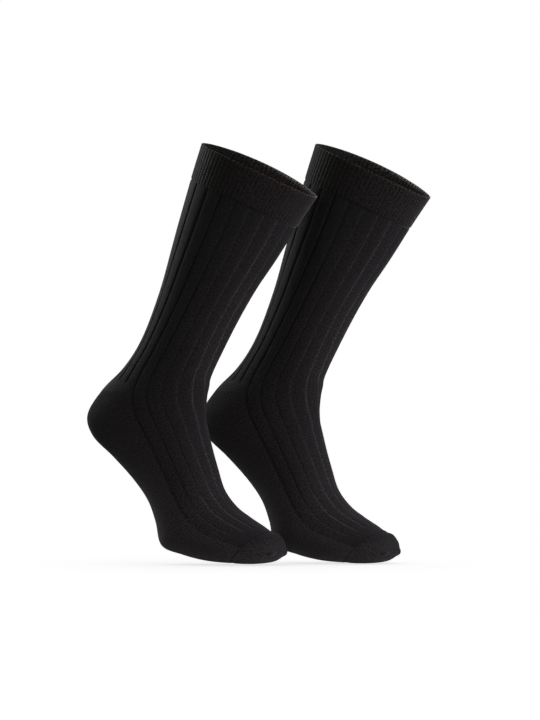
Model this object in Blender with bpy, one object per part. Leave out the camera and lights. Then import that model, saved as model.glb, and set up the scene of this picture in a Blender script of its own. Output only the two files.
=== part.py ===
"""A pair of ribbed dress socks, filled out as worn and up on the toes.

Metres, +Z up.  Each sock is hollow knitted cloth in seven stretches: cuff, leg,
ankle, heel, instep, sole and toe.  The toes point along +X and the leg leans forward
in the XZ plane.  The origin is the middle of the front sock's mouth, where a leg
goes in.

A sock is a loft through the sections of SECTIONS.  A point on it has a station,
counted in rows of that table from the mouth to the toe, and a needle, counted round
the tube: 0 at the middle of the front, -5 and 5 at the sides, 10 at the middle of
the back.  One needle is one wide rib.
"""

import math
from collections import namedtuple

import bmesh
import bpy
import numpy as np

MM = 0.001

# Cloth
WALL = 2.0 * MM             # from the crown of a rib to the inside
GROOVE_DEPTH = 0.75 * MM    # the narrow groove between two wide ribs
GROOVE_HALF = 0.085         # its half width, in needles
RIB_ROUND = 0.12 * MM       # how far a rib's edges lie below its crown
WELT_PROUD = 0.25 * MM      # the cuff's fine ribs stand out from the leg
WELT_DEPTH = 0.5 * MM       # from crest to furrow of a fine rib
GAP = 0.3 * MM              # between two pieces at a seam

# Counts
NEEDLES = 20                # wide ribs round the leg
SIDE = NEEDLES // 4         # needles from the middle of the front to a side
BACK = NEEDLES // 2         # and to the middle of the back
WELT_RIBS = 4               # fine cuff ribs for each wide rib
CUFF_STRIPS = 2             # bands of faces down each piece
CALF_STRIPS = 3
ANKLE_STRIPS = 6
HEEL_STRIPS = 7             # shared with the instep beside the heel
FOOT_STRIPS = 10            # shared by the instep and the sole
TOE_STRIPS = 6
SHARP_EDGE = math.radians(50)

# Where the rear sock stands, beside and behind the front one
REAR_PLACE = (101.5 * MM, 78.0 * MM, -0.9 * MM)

# One row for each section, in millimetres.  back and front are the section's ends in
# the XZ plane and wide is its breadth along Y.  full moves the widest point towards
# the back, lift raises the sides along the leg, turn twists the ribs and spread moves
# the side ribs towards the back, both in needles.
Section = namedtuple(
    "Section", "name back_x back_z front_x front_z wide full lift turn spread")

SECTIONS = [
    Section("mouth", -60.0, 28.0, 60.0, -28.0, 100.0, 0.14, 3.0, -0.95, -0.20),
    Section("welt", -71.5, -8.5, 38.0, -60.0, 98.0, 0.12, 4.0, -0.95, -0.20),
    Section("calf", -83.0, -47.5, 15.5, -94.5, 93.0, 0.10, 3.0, -0.95, -0.20),
    Section("shin", -93.5, -84.5, -6.5, -126.5, 86.0, 0.08, 2.0, -1.00, -0.15),
    Section("low_leg", -106.5, -128.0, -27.0, -162.0, 75.0, 0.06, 1.0, -1.15, 0.00),
    Section("ankle", -123.5, -171.5, -50.0, -208.5, 66.0, 0.00, 0.0, -1.00, 0.65),
    Section("tendon", -143.0, -202.5, -54.0, -223.0, 62.0, -0.05, 0.0, -0.70, 1.15),
    Section("heel_top", -167.0, -227.0, -56.5, -235.5, 64.0, -0.05, 0.0, -0.35, 0.80),
    Section("heel_back", -181.5, -252.0, -57.5, -247.5, 66.0, -0.02, 0.0, -0.10, 0.20),
    Section("heel_base", -175.5, -273.5, -57.0, -258.0, 68.0, 0.00, 0.0, 0.00, 0.00),
    Section("heel_end", -154.0, -295.0, -55.5, -267.5, 70.0, 0.00, 0.0, -0.10, 0.10),
    Section("arch", -131.5, -319.5, -51.5, -284.5, 74.0, 0.00, 0.0, -0.10, 0.30),
    Section("waist", -117.5, -341.5, -45.5, -306.5, 80.0, 0.03, 0.0, 0.00, 0.35),
    Section("instep", -109.0, -363.0, -38.0, -329.5, 87.0, 0.06, 0.0, 0.05, 0.10),
    Section("ball", -102.5, -388.0, -25.0, -347.0, 92.0, 0.08, 0.0, 0.10, -0.25),
    Section("tread", -80.0, -397.0, -11.0, -357.5, 94.0, 0.10, 0.0, 0.15, -0.20),
    Section("fore", -54.0, -402.5, 2.0, -366.0, 92.0, 0.10, 0.0, 0.15, -0.20),
    Section("toe_seam", -27.5, -404.5, 11.0, -372.5, 88.0, 0.08, 0.0, 0.10, 0.00),
    Section("toe_root", -5.5, -404.5, 18.5, -375.5, 80.0, 0.05, 0.0, 0.00, 0.00),
    Section("toe_bend", 13.0, -402.0, 22.5, -381.0, 64.0, 0.00, 0.0, 0.00, 0.00),
    Section("toe_nose", 23.0, -397.0, 25.0, -388.0, 36.0, 0.00, 0.0, 0.00, 0.00),
]
TOE_TIP = (27.0, 0.0, -393.5)       # where the toe closes, in millimetres

TABLE = np.array([row[1:] for row in SECTIONS])
STATION = {row.name: index for index, row in enumerate(SECTIONS)}
RIBS_END = STATION["fore"] + 0.4    # the grooves run out before the toe seam

# Steps of a finite difference, and the samples that measure round a section
STATION_STEP = 0.02
NEEDLE_STEP = 0.04
ARC_SAMPLES = 97

Cloth = namedtuple("Cloth", "colour roughness")
CLOTHS = {
    "cuff": Cloth((0.016, 0.015, 0.014), 0.95),
    "leg": Cloth((0.012, 0.011, 0.012), 0.90),
    "ankle": Cloth((0.012, 0.011, 0.012), 0.90),
    "heel": Cloth((0.013, 0.012, 0.013), 0.92),
    "instep": Cloth((0.012, 0.011, 0.012), 0.90),
    "sole": Cloth((0.013, 0.012, 0.013), 0.92),
    "toe": Cloth((0.017, 0.016, 0.017), 0.95),
}


def clear_scene():
    """Remove what a new file holds."""
    for item in list(bpy.data.objects):
        bpy.data.objects.remove(item, do_unlink=True)


def section_at(station):
    """The section values at any station, on a smooth curve through the table's rows."""
    last = len(TABLE) - 1
    start = min(max(int(math.floor(station)), 0), last - 1)
    part = station - start
    here, after = TABLE[start], TABLE[start + 1]
    before = TABLE[start - 1] if start > 0 else 2 * here - after
    beyond = TABLE[start + 2] if start + 2 <= last else 2 * after - here
    return 0.5 * (2 * here
                  + (after - before) * part
                  + (2 * before - 5 * here + 4 * after - beyond) * part ** 2
                  + (3 * here - before - 3 * after + beyond) * part ** 3)


def ring_points(values, angle):
    """Points round one section, in millimetres; angle 0 is the middle of the front."""
    back_x, back_z, front_x, front_z, wide, full, lift = values[:7]
    across_x, across_z = front_x - back_x, front_z - back_z
    length = math.hypot(across_x, across_z)
    cosine, sine = np.cos(angle), np.sin(angle)
    raised = lift * sine ** 2 / length
    x = (back_x + front_x + across_x * cosine) / 2 - across_z * raised
    z = (back_z + front_z + across_z * cosine) / 2 + across_x * raised
    y = wide / 2 * sine * (1 - full * cosine)
    return np.stack([x, y, z], axis=-1)


def skin(station, needle):
    """A point on the smooth outside, in metres, as a numpy vector."""
    values = section_at(station)
    turn, spread = values[7:]
    angle = np.linspace(-math.pi, math.pi, ARC_SAMPLES)
    ring = ring_points(values, angle)
    steps = np.linalg.norm(np.diff(ring, axis=0), axis=1)
    arc = np.concatenate([[0.0], np.cumsum(steps)])
    arc = (arc / arc[-1] - 0.5) * NEEDLES
    place = needle + turn + spread * math.sin(math.pi * needle / (2 * SIDE))
    place = (place + NEEDLES / 2) % NEEDLES - NEEDLES / 2
    return ring_points(values, np.interp(place, arc, angle)) * MM


def slopes(station, needle):
    """How the outside runs along the sock and round it."""
    along = (skin(station + STATION_STEP, needle)
             - skin(station - STATION_STEP, needle)) / (2 * STATION_STEP)
    round_it = (skin(station, needle + NEEDLE_STEP)
                - skin(station, needle - NEEDLE_STEP)) / (2 * NEEDLE_STEP)
    return along, round_it


def inward(station, needle):
    """The unit direction from the outside into the sock."""
    along, round_it = slopes(station, needle)
    direction = np.cross(round_it, along)
    return direction / np.linalg.norm(direction)


def shifted(station, needle, along_sign, round_sign):
    """The same place, moved half a seam gap along the sock, round it or both."""
    along, round_it = slopes(station, needle)
    station += along_sign * GAP / 2 / np.linalg.norm(along)
    needle += round_sign * GAP / 2 / np.linalg.norm(round_it)
    return station, needle


def rib_relief(station, needle):
    """How far the outside lies below a wide rib's crown."""
    if station > RIBS_END:
        return 0.0
    from_groove = abs(needle - round(needle))
    if from_groove == 0:
        return GROOVE_DEPTH
    return RIB_ROUND if from_groove < 2 * GROOVE_HALF else 0.0


def welt_relief(_station, needle):
    """The cuff's fine ribs: a crest midway between furrows."""
    is_furrow = needle * WELT_RIBS == round(needle * WELT_RIBS)
    return WELT_DEPTH - WELT_PROUD if is_furrow else -WELT_PROUD


def plain_relief(_station, _needle):
    return 0.0


def rib_columns(first, last):
    """Needles of a ribbed stretch: each groove, its two edges and the crown."""
    columns = []
    for groove in range(first, last):
        columns += [float(groove), groove + GROOVE_HALF,
                    groove + 0.5, groove + 1 - GROOVE_HALF]
    return columns


def even_columns(first, last, per_needle):
    """Needles of an even stretch."""
    count = (last - first) * per_needle
    return [first + index / per_needle for index in range(count)]


def stations(first, last, strips):
    """Stations from one named section to another, in equal steps."""
    return [float(value) for value in
            np.linspace(STATION[first], STATION[last], strips + 1)]


class Wall:
    """One piece of cloth: an outer skin with relief over a plain, coarser inside."""

    def __init__(self, relief, seam_shift):
        self.relief = relief
        self.seam_shift = seam_shift
        self.mesh = bmesh.new()
        self.outer = {}
        self.inner = {}
        self.edges = {}

    def vertex(self, layer, key):
        """The vertex at a place, made the first time it is asked for."""
        if key not in layer:
            station, needle = key
            station, needle = shifted(station, needle, *self.seam_shift(*key))
            depth = WALL if layer is self.inner else self.relief(*key)
            point = skin(station, needle) + depth * inward(station, needle)
            layer[key] = self.mesh.verts.new(point)
        return layer[key]

    def face(self, layer, *keys):
        corners = [self.vertex(layer, key) for key in keys]
        self.mesh.faces.new(corners)
        if layer is self.outer:
            for start, end in zip(keys, keys[1:] + keys[:1]):
                self.edges[start] = self.edges.get(start, []) + [end]

    def strip(self, near, far, columns, closed):
        """Cloth between two stations, over a list of needles."""
        ring = columns + [columns[0]] if closed else columns
        coarse = [needle for needle in ring if needle == round(needle)]
        for layer, places in ((self.outer, ring), (self.inner, coarse)):
            for left, right in zip(places, places[1:]):
                keys = ((near, left), (near, right), (far, right), (far, left))
                self.face(layer, *keys)

    def strips(self, rows, columns, closed):
        for near, far in zip(rows, rows[1:]):
            self.strip(near, far, columns, closed)

    def rims(self):
        """The loops of outer edges that only one face uses."""
        following = {}
        for start, ends in self.edges.items():
            for end in ends:
                if start not in self.edges.get(end, []):
                    following[start] = end
        loops = []
        while following:
            start = next(iter(following))
            loop = [start]
            while following[loop[-1]] != start:
                loop.append(following[loop[-1]])
            for key in loop:
                del following[key]
            loops.append(loop)
        return loops

    def close_rims(self):
        """Join the outside to the inside along every rim."""
        for loop in self.rims():
            first = next(i for i, key in enumerate(loop) if key in self.inner)
            loop = loop[first:] + loop[:first + 1]
            marks = [i for i, key in enumerate(loop) if key in self.inner]
            for start, end in zip(marks, marks[1:]):
                self.close_span(loop[start:end + 1])

    def close_span(self, chain):
        """Join a chain of outer places to the inner edge between its two ends.

        Both pieces at a seam split their rims alike, so that the gap stays even."""
        start, end = self.inner[chain[0]], self.inner[chain[-1]]
        middle = len(chain) // 2
        if len(chain) == 2:
            middle = int(chain[0] > chain[1])
        for index, (left, right) in enumerate(zip(chain, chain[1:])):
            inside = start if index < middle else end
            self.mesh.faces.new([self.outer[right], self.outer[left], inside])
        self.mesh.faces.new([self.outer[chain[middle]], start, end])

    def close_end(self, station, columns, tip):
        """Fan the last ring of each layer to a point."""
        coarse = [needle for needle in columns if needle == round(needle)]
        outer_tip = np.array(tip) * MM
        inner_tip = outer_tip - np.array([WALL, 0.0, 0.0])
        for layer, places, point in ((self.outer, columns, outer_tip),
                                     (self.inner, coarse, inner_tip)):
            peak = self.mesh.verts.new(point)
            for left, right in zip(places, places[1:] + places[:1]):
                corners = [layer[(station, left)], layer[(station, right)], peak]
                self.mesh.faces.new(corners)
            if layer is self.outer:
                for left, right in zip(places, places[1:] + places[:1]):
                    self.edges[(station, left)].append((station, right))

    def finish(self, name):
        """The closed mesh, faces out."""
        self.close_rims()
        bmesh.ops.triangulate(self.mesh, faces=self.mesh.faces)
        bmesh.ops.recalc_face_normals(self.mesh, faces=self.mesh.faces)
        data = bpy.data.meshes.new(name)
        self.mesh.to_mesh(data)
        self.mesh.free()
        data.shade_smooth()
        data.set_sharp_from_angle(angle=SHARP_EDGE)
        return data


def end_shift(first, last):
    """Seam gaps at the two ends of a tube; None leaves an end where it is."""
    def shift(station, _needle):
        along = (station == first) - (station == last)
        return along, 0
    return shift


def edge_shift(rows, first, last):
    """Seam gaps at the two ends and the two sides of a piece that is part of a tube."""
    def shift(station, needle):
        along = (station == rows[0]) - (station == rows[-1])
        sideways = (needle == first) - (needle == last)
        return along, sideways
    return shift


def cuff_mesh():
    rows = stations("mouth", "welt", CUFF_STRIPS)
    wall = Wall(welt_relief, end_shift(None, rows[-1]))
    wall.strips(rows, even_columns(-BACK, BACK, 2 * WELT_RIBS), closed=True)
    return wall.finish("cuff")


def leg_mesh():
    rows = stations("welt", "low_leg", CALF_STRIPS)
    wall = Wall(rib_relief, end_shift(rows[0], rows[-1]))
    wall.strips(rows, rib_columns(-BACK, BACK), closed=True)
    return wall.finish("leg")


def ankle_mesh():
    rows = stations("low_leg", "heel_top", ANKLE_STRIPS)
    wall = Wall(rib_relief, end_shift(rows[0], rows[-1]))
    wall.strips(rows, rib_columns(-BACK, BACK), closed=True)
    return wall.finish("ankle")


def heel_mesh():
    """The plain pocket round the back, between the side grooves."""
    rows = stations("heel_top", "heel_end", HEEL_STRIPS)
    first, last = SIDE, NEEDLES - SIDE
    wall = Wall(plain_relief, edge_shift(rows, first, last))
    columns = even_columns(first, last, 2) + [float(last)]
    wall.strips(rows, columns, closed=False)
    return wall.finish("heel")


def instep_mesh():
    """The ribbed top of the foot, from the ankle to the toe seam."""
    beside_heel = stations("heel_top", "heel_end", HEEL_STRIPS)
    beside_sole = stations("heel_end", "toe_seam", FOOT_STRIPS)
    rows = beside_heel + beside_sole[1:]
    wall = Wall(rib_relief, edge_shift(rows, -SIDE, SIDE))
    wall.strips(rows, rib_columns(-SIDE, SIDE) + [float(SIDE)], closed=False)
    return wall.finish("instep")


def sole_mesh():
    """The plain sole, from the heel to the toe seam."""
    rows = stations("heel_end", "toe_seam", FOOT_STRIPS)
    first, last = SIDE, NEEDLES - SIDE
    wall = Wall(plain_relief, edge_shift(rows, first, last))
    columns = even_columns(first, last, 2) + [float(last)]
    wall.strips(rows, columns, closed=False)
    return wall.finish("sole")


def toe_mesh():
    rows = stations("toe_seam", "toe_nose", TOE_STRIPS)
    wall = Wall(plain_relief, end_shift(rows[0], None))
    columns = even_columns(-BACK, BACK, 2)
    wall.strips(rows, columns, closed=True)
    wall.close_end(rows[-1], columns, TOE_TIP)
    return wall.finish("toe")


def cloth_material(piece):
    """A plain matt cloth for one piece."""
    material = bpy.data.materials.new(f"{piece}_knit")
    material.use_nodes = True
    shader = material.node_tree.nodes["Principled BSDF"]
    shader.inputs["Base Color"].default_value = (*CLOTHS[piece].colour, 1.0)
    shader.inputs["Roughness"].default_value = CLOTHS[piece].roughness
    shader.inputs["Metallic"].default_value = 0.0
    return material


def build_pair():
    """Make each piece once and place it on both socks."""
    makers = {"cuff": cuff_mesh, "leg": leg_mesh, "ankle": ankle_mesh,
              "heel": heel_mesh, "instep": instep_mesh, "sole": sole_mesh,
              "toe": toe_mesh}
    meshes = {}
    for piece, make in makers.items():
        meshes[piece] = make()
        meshes[piece].materials.append(cloth_material(piece))
    for sock, place in (("front", (0.0, 0.0, 0.0)), ("rear", REAR_PLACE)):
        holder = bpy.data.objects.new(f"{sock}_sock", None)
        holder.location = place
        bpy.context.collection.objects.link(holder)
        for piece, data in meshes.items():
            item = bpy.data.objects.new(f"{sock}_{piece}", data)
            item.parent = holder
            bpy.context.collection.objects.link(item)


clear_scene()
build_pair()
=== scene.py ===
# %% [markdown]
# # A pair of ribbed dress socks
#
# The packed model is two plain hollow socks, filled out as if worn on tiptoe. This
# lesson dresses each of them in knitted cloth: a ribbed cuff, a leg in wide ribs, a
# plain heel and sole, and a toe cap linked on along a seam. The model keeps its place
# and size, and every piece made here lies over the solids that it stands for.

# %% Load the packed socks
import math
from collections import namedtuple

import bpy
import numpy as np
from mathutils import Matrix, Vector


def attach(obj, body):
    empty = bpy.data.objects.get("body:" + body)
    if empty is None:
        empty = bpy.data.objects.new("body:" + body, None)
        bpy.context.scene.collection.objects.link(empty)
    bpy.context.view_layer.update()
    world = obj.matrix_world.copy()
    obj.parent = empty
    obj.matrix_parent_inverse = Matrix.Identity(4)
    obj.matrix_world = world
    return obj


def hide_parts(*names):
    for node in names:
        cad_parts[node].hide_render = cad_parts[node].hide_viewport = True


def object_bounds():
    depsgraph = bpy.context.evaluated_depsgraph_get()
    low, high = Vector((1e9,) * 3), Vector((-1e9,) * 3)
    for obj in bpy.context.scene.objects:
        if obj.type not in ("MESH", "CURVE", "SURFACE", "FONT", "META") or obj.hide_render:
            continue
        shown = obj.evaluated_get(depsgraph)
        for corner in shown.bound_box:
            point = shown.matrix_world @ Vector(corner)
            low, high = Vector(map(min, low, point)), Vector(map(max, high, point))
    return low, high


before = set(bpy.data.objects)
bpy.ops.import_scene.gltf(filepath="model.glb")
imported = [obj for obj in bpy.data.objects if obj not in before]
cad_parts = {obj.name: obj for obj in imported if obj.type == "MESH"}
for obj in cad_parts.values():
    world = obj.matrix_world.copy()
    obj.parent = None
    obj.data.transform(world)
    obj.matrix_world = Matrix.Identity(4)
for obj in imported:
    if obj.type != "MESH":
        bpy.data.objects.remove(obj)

cad_low, cad_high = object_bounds()
print("solids:", sorted(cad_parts))
print("box in mm:", [round(1000 * (high - low)) for low, high in zip(cad_low, cad_high)])

# %% [markdown]
# ## The form that fills the sock
#
# A worn sock has no shape of its own: it takes the shape of the leg. So the leg comes
# first. It could be a stack of circles joined by hand, or a subdivision surface, but a
# table of cross-sections with a smooth curve through its rows lets every piece ask for
# a point at any place. Each section has a back and a front end in the XZ plane and a
# width. The last four numbers shape it: full moves the widest point back, lift raises
# the sides, turn twists the ribs round the leg and spread pulls the side ribs back
# towards the heel.

# %% Sections down the sock, in millimetres
MM = 0.001
Section = namedtuple(
    "Section", "name back_x back_z front_x front_z wide full lift turn spread")
SECTIONS = [Section(*row) for row in (
    ("mouth", -60, 28, 60, -28, 100, 0.14, 3, -0.95, -0.2),
    ("welt", -71.5, -8.5, 38, -60, 98, 0.12, 4, -0.95, -0.2),
    ("calf", -83, -47.5, 15.5, -94.5, 93, 0.1, 3, -0.95, -0.2),
    ("shin", -93.5, -84.5, -6.5, -126.5, 86, 0.08, 2, -1, -0.15),
    ("low_leg", -106.5, -128, -27, -162, 75, 0.06, 1, -1.15, 0),
    ("ankle", -123.5, -171.5, -50, -208.5, 66, 0, 0, -1, 0.65),
    ("tendon", -143, -202.5, -54, -223, 62, -0.05, 0, -0.7, 1.15),
    ("heel_top", -167, -227, -56.5, -235.5, 64, -0.05, 0, -0.35, 0.8),
    ("heel_back", -183, -252.5, -57.5, -247.5, 66, -0.02, 0, -0.1, 0.2),
    ("heel_base", -177.2, -274.5, -57, -258, 68, 0, 0, 0, 0),
    ("heel_end", -155.3, -296.3, -55.5, -267.5, 70, 0, 0, -0.1, 0.1),
    ("arch", -132.6, -320.4, -51.5, -284.5, 74, 0, 0, -0.1, 0.3),
    ("waist", -117.5, -341.5, -45.5, -306.5, 80, 0.03, 0, 0, 0.35),
    ("instep", -109, -363, -38, -329.5, 87, 0.06, 0, 0.05, 0.1),
    ("ball", -102.5, -388, -25, -347, 92, 0.08, 0, 0.1, -0.25),
    ("tread", -80, -397, -11, -357.5, 94, 0.1, 0, 0.15, -0.2),
    ("fore", -54, -403.2, 2, -366, 92, 0.1, 0, 0.15, -0.2),
    ("toe_seam", -27.5, -405.5, 11, -372.5, 88, 0.08, 0, 0.1, 0),
    ("toe_root", -5.5, -405.9, 18.5, -375.5, 80, 0.05, 0, 0, 0),
    ("toe_bend", 13, -403.8, 22.5, -381, 64, 0, 0, 0, 0),
    ("toe_nose", 23, -398.8, 25, -388, 36, 0, 0, 0, 0),
)]
TOE_TIP = (27.2, 0.0, -394.5)

TABLE = np.array([row[1:] for row in SECTIONS])
STATION = {row.name: index for index, row in enumerate(SECTIONS)}
print(len(SECTIONS), "sections from", SECTIONS[0].name, "to", SECTIONS[-1].name)

# %% [markdown]
# ## A point anywhere on the cloth
#
# Two numbers name a place on a sock. The station counts rows of the table from the
# mouth to the toe. The needle counts round the tube, 0 at the middle of the front, 5
# and -5 at the sides and 10 at the middle of the back, and one needle is one wide rib.
# Needles are spaced by length and not by angle, so the ribs come out about equally
# wide. The functions take whole arrays, because numpy works out a full grid of many
# thousand points in one go.

# %% The smooth outside of the leg and foot
NEEDLES = 20
SIDE, BACK = NEEDLES // 4, NEEDLES // 2
ARC_SAMPLES = 193


def section_values(stations):
    """The table's values at each station, on a smooth curve through its rows."""
    last = len(TABLE) - 1
    start = np.clip(np.floor(stations).astype(int), 0, last - 1)
    part = (stations - start)[:, None]
    longer = np.vstack([2 * TABLE[0] - TABLE[1], TABLE, 2 * TABLE[-1] - TABLE[-2]])
    before, here, after, beyond = (longer[start + step] for step in range(4))
    return 0.5 * (2 * here + (after - before) * part
                  + (2 * before - 5 * here + 4 * after - beyond) * part ** 2
                  + (3 * here - before - 3 * after + beyond) * part ** 3)


def ring_points(values, angle):
    """Points round each section at the given angles, in millimetres."""
    back_x, back_z, front_x, front_z, wide, full, lift = values[:, :7].T[:, :, None]
    across_x, across_z = front_x - back_x, front_z - back_z
    cosine, sine = np.cos(angle), np.sin(angle)
    raised = lift * sine ** 2 / np.hypot(across_x, across_z)
    x = (back_x + front_x + across_x * cosine) / 2 - across_z * raised
    z = (back_z + front_z + across_z * cosine) / 2 + across_x * raised
    return np.stack([x, wide / 2 * sine * (1 - full * cosine), z], axis=-1)


def skin(stations, needles):
    """The smooth outside in metres, as a grid of stations by needles."""
    values = section_values(stations)
    turn, spread = values[:, 7:8], values[:, 8:9]
    angle = np.linspace(-math.pi, math.pi, ARC_SAMPLES)
    ring = ring_points(values, np.tile(angle, (len(stations), 1)))
    steps = np.linalg.norm(np.diff(ring, axis=1), axis=2)
    arc = np.hstack([np.zeros((len(stations), 1)), np.cumsum(steps, axis=1)])
    arc = (arc / arc[:, -1:] - 0.5) * NEEDLES
    place = needles + turn + spread * np.sin(math.pi * needles / (2 * SIDE))
    place = (place + NEEDLES / 2) % NEEDLES - NEEDLES / 2
    at = np.array([np.interp(row, along, angle) for row, along in zip(place, arc)])
    return ring_points(values, at) * MM


ALL_ROUND = np.arange(-BACK, BACK, dtype=float)
ankle_ring = skin(np.array([float(STATION["ankle"])]), ALL_ROUND)
print("ankle:", round(np.ptp(ankle_ring[..., 0]) / MM), "by",
      round(np.ptp(ankle_ring[..., 1]) / MM), "mm")

# %% [markdown]
# ## Which way is out
#
# Ribs stand out from the leg, so each point needs the direction out of the cloth. On a
# sphere it would be the line from the centre. On a bent tube it is the cross product of
# two slopes, one along the sock and one round it, measured a small step to each side.
# Rows are then spaced by their real distance, as the sections in the table are not
# evenly far apart.

# %% Directions and even rows
STEP = 0.02
FINE_ROWS = 400


def unit(vectors):
    return vectors / np.linalg.norm(vectors, axis=-1, keepdims=True)


def cloth_grid(stations, needles):
    """Points, outward directions and directions along the sock."""
    along = skin(stations + STEP, needles) - skin(stations - STEP, needles)
    around = skin(stations, needles + STEP) - skin(stations, needles - STEP)
    return skin(stations, needles), unit(np.cross(along, around)), unit(along)


def lengths_along(stations):
    """Distance down the sock to each station in metres, as the mean round the tube."""
    points = skin(stations, ALL_ROUND)
    steps = np.linalg.norm(np.diff(points, axis=0), axis=2).mean(axis=1)
    return np.concatenate([[0.0], np.cumsum(steps)])


def even_rows(first, last, spacing):
    """Stations between two named sections, about evenly spaced in metres."""
    dense = np.linspace(STATION[first], STATION[last], FINE_ROWS)
    length = lengths_along(dense)
    count = max(2, int(round(length[-1] / spacing)) + 1)
    return np.interp(np.linspace(0.0, length[-1], count), length, dense)


whole_sock = np.linspace(STATION["mouth"], STATION["toe_nose"], FINE_ROWS)
print("sock length along the cloth:", round(lengths_along(whole_sock)[-1] / MM), "mm")

# %% [markdown]
# ## Cloth with two sides
#
# Knitted cloth is thin, but its edge and its inside show at the mouth. Each piece is
# therefore a closed shell with an outer and an inner grid, joined along every open
# edge. Blender's Solidify modifier could make the second side, but building both here
# keeps the ribs on the outside and a plain wall within.
#
# Each face corner gets a place in stitches, counted in wales round the sock and courses
# down it. It is stored as a UV map, and the knitted finish is drawn from it. Each point
# gets a tone, a colour that the finish multiplies its yarn by.

# %% A thin closed shell of knitting
SHARP_EDGE = math.radians(62)
STITCH_MAP = "stitches"
TONE = "tone"


def edge_quads(used, closed):
    """Each used face of a grid, and the edges that only one used face has."""
    rows, columns = np.nonzero(used)
    wrap = used.shape[1]
    faces, rims = [], []
    for i, j in zip(rows.tolist(), columns.tolist()):
        corners = [(i, j), (i + 1, j), (i + 1, j + 1), (i, j + 1)]
        faces.append(corners)
        left, right = j - 1, j + 1
        if closed:
            left, right = left % wrap, right % wrap
        beside = [(i, left), (i + 1, j), (i, right), (i - 1, j)]
        for side, (row, column) in enumerate(beside):
            inside = 0 <= row < used.shape[0] and 0 <= column < wrap
            if not (inside and used[row, column]):
                rims.append((corners[side], corners[(side + 1) % 4]))
    return faces, rims


def tint(data, tones):
    """Store a colour for each point, which the finish multiplies its yarn by."""
    opaque = np.concatenate([tones, np.ones((len(tones), 1))], axis=1)
    layer = data.attributes.new(TONE, "FLOAT_COLOR", "POINT")
    layer.data.foreach_set("color", opaque.ravel())


def knit_shell(name, outer, inner, wales, courses, tone, inside=None, used=None):
    """A mesh from two grids of points, with its stitch map and its tones."""
    columns = outer.shape[1]
    if used is None:
        used = np.ones(np.subtract(wales.shape, 1), dtype=bool)
    faces, rims = edge_quads(used, closed=wales.shape[1] > columns)
    layer = outer.shape[0] * columns

    def index(place, side):
        return side * layer + place[0] * columns + place[1] % columns

    turned = [face[::-1] for face in faces]
    places = faces + turned + [[end, start, start, end] for start, end in rims]
    quads = [[index(place, 0) for place in face] for face in faces]
    quads += [[index(place, 1) for place in face] for face in turned]
    quads += [[index(end, 0), index(start, 0), index(start, 1), index(end, 1)]
              for start, end in rims]
    kept, quads = np.unique(np.array(quads), return_inverse=True)
    points = np.concatenate([outer.reshape(-1, 3), inner.reshape(-1, 3)])[kept]
    data = bpy.data.meshes.new(name)
    data.from_pydata(points.tolist(), [], quads.reshape(-1, 4).tolist())
    rows, cols = np.array(places).reshape(-1, 2).T
    stitches = np.stack([wales[rows, cols], courses[rows, cols]], axis=1)
    data.uv_layers.new(name=STITCH_MAP).data.foreach_set("uv", stitches.ravel())
    inside = tone if inside is None else inside
    tones = [np.broadcast_to(side if side.ndim == 3 else side[..., None], outer.shape)
             for side in (tone, inside)]
    tint(data, np.concatenate([side.reshape(-1, 3) for side in tones])[kept])
    data.shade_smooth()
    data.set_sharp_from_angle(angle=SHARP_EDGE)
    return data


trial = edge_quads(np.ones((3, 4), dtype=bool), closed=False)
print(len(trial[0]), "faces have", len(trial[1]), "open edges")

# %% [markdown]
# ## Gauge
#
# Gauge is how many stitches fill a centimetre. These socks come off a fine machine with
# 160 needles: eight wales, or columns of stitches, to each wide rib. Stretched over a
# calf a wale is about two millimetres wide, and a course, or row of stitches, is 1.5 to
# 2.1 millimetres tall.
#
# Two helpers come with these counts. A smooth step rises from 0 to 1 between two values
# and softens the ends of ribs and shades. The drift lets the cloth wander a little. A
# noise texture could do that too, but three sine waves join up all round the tube.

# %% Stitch counts and soft steps
WALES_PER_RIB = 8
LEG_COURSE, CUFF_COURSE = 1.8 * MM, 2.0 * MM
PLAIN_COURSE, TOE_COURSE = 1.5 * MM, 2.1 * MM
CLOTH = 1.3 * MM


def smooth_step(low, high, value):
    part = np.clip((value - low) / (high - low), 0.0, 1.0)
    return part * part * (3 - 2 * part)


def drift(stations, needles):
    """Slow unevenness of worn cloth, from -1 to 1."""
    rows = stations[:, None]
    waves = (np.sin(1.9 * rows + 2 * math.pi * needles / NEEDLES)
             + np.sin(0.8 * rows - 6 * math.pi * needles / NEEDLES + 1.3)
             + np.sin(3.1 * rows + 10 * math.pi * needles / NEEDLES + 0.4))
    return waves / 3


print("wales round the leg:", NEEDLES * WALES_PER_RIB)

# %% [markdown]
# ## Painted light and shade
#
# Some light and shade is painted into the colour of the cloth, besides what the lamps
# give. Round the upper leg the front and the back get painted light and the sides
# painted shade. Soft round patches add painted light or painted shade at single places,
# such as the back of the cuff, the sole, the back of the heel and the top of the toe.
# They could be drawn into an image by hand, but a table of them is easier to change:
# the middle of each, its reach down and aside, and its change of shade.

# %% Patches of painted light and shade
# Painted light at the front and the back of the upper leg, painted shade at its sides.
SIDE_PAINTED_LIGHT = [(0, 1.15), (3, 1.0), (5.5, 0.8), (7.5, 0.84), (9, 1.2), (10, 1.3)]
UPPER_LEG_ENDS = (3.5, 6.0)
Patch = namedtuple("Patch", "station needle down aside change")
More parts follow.
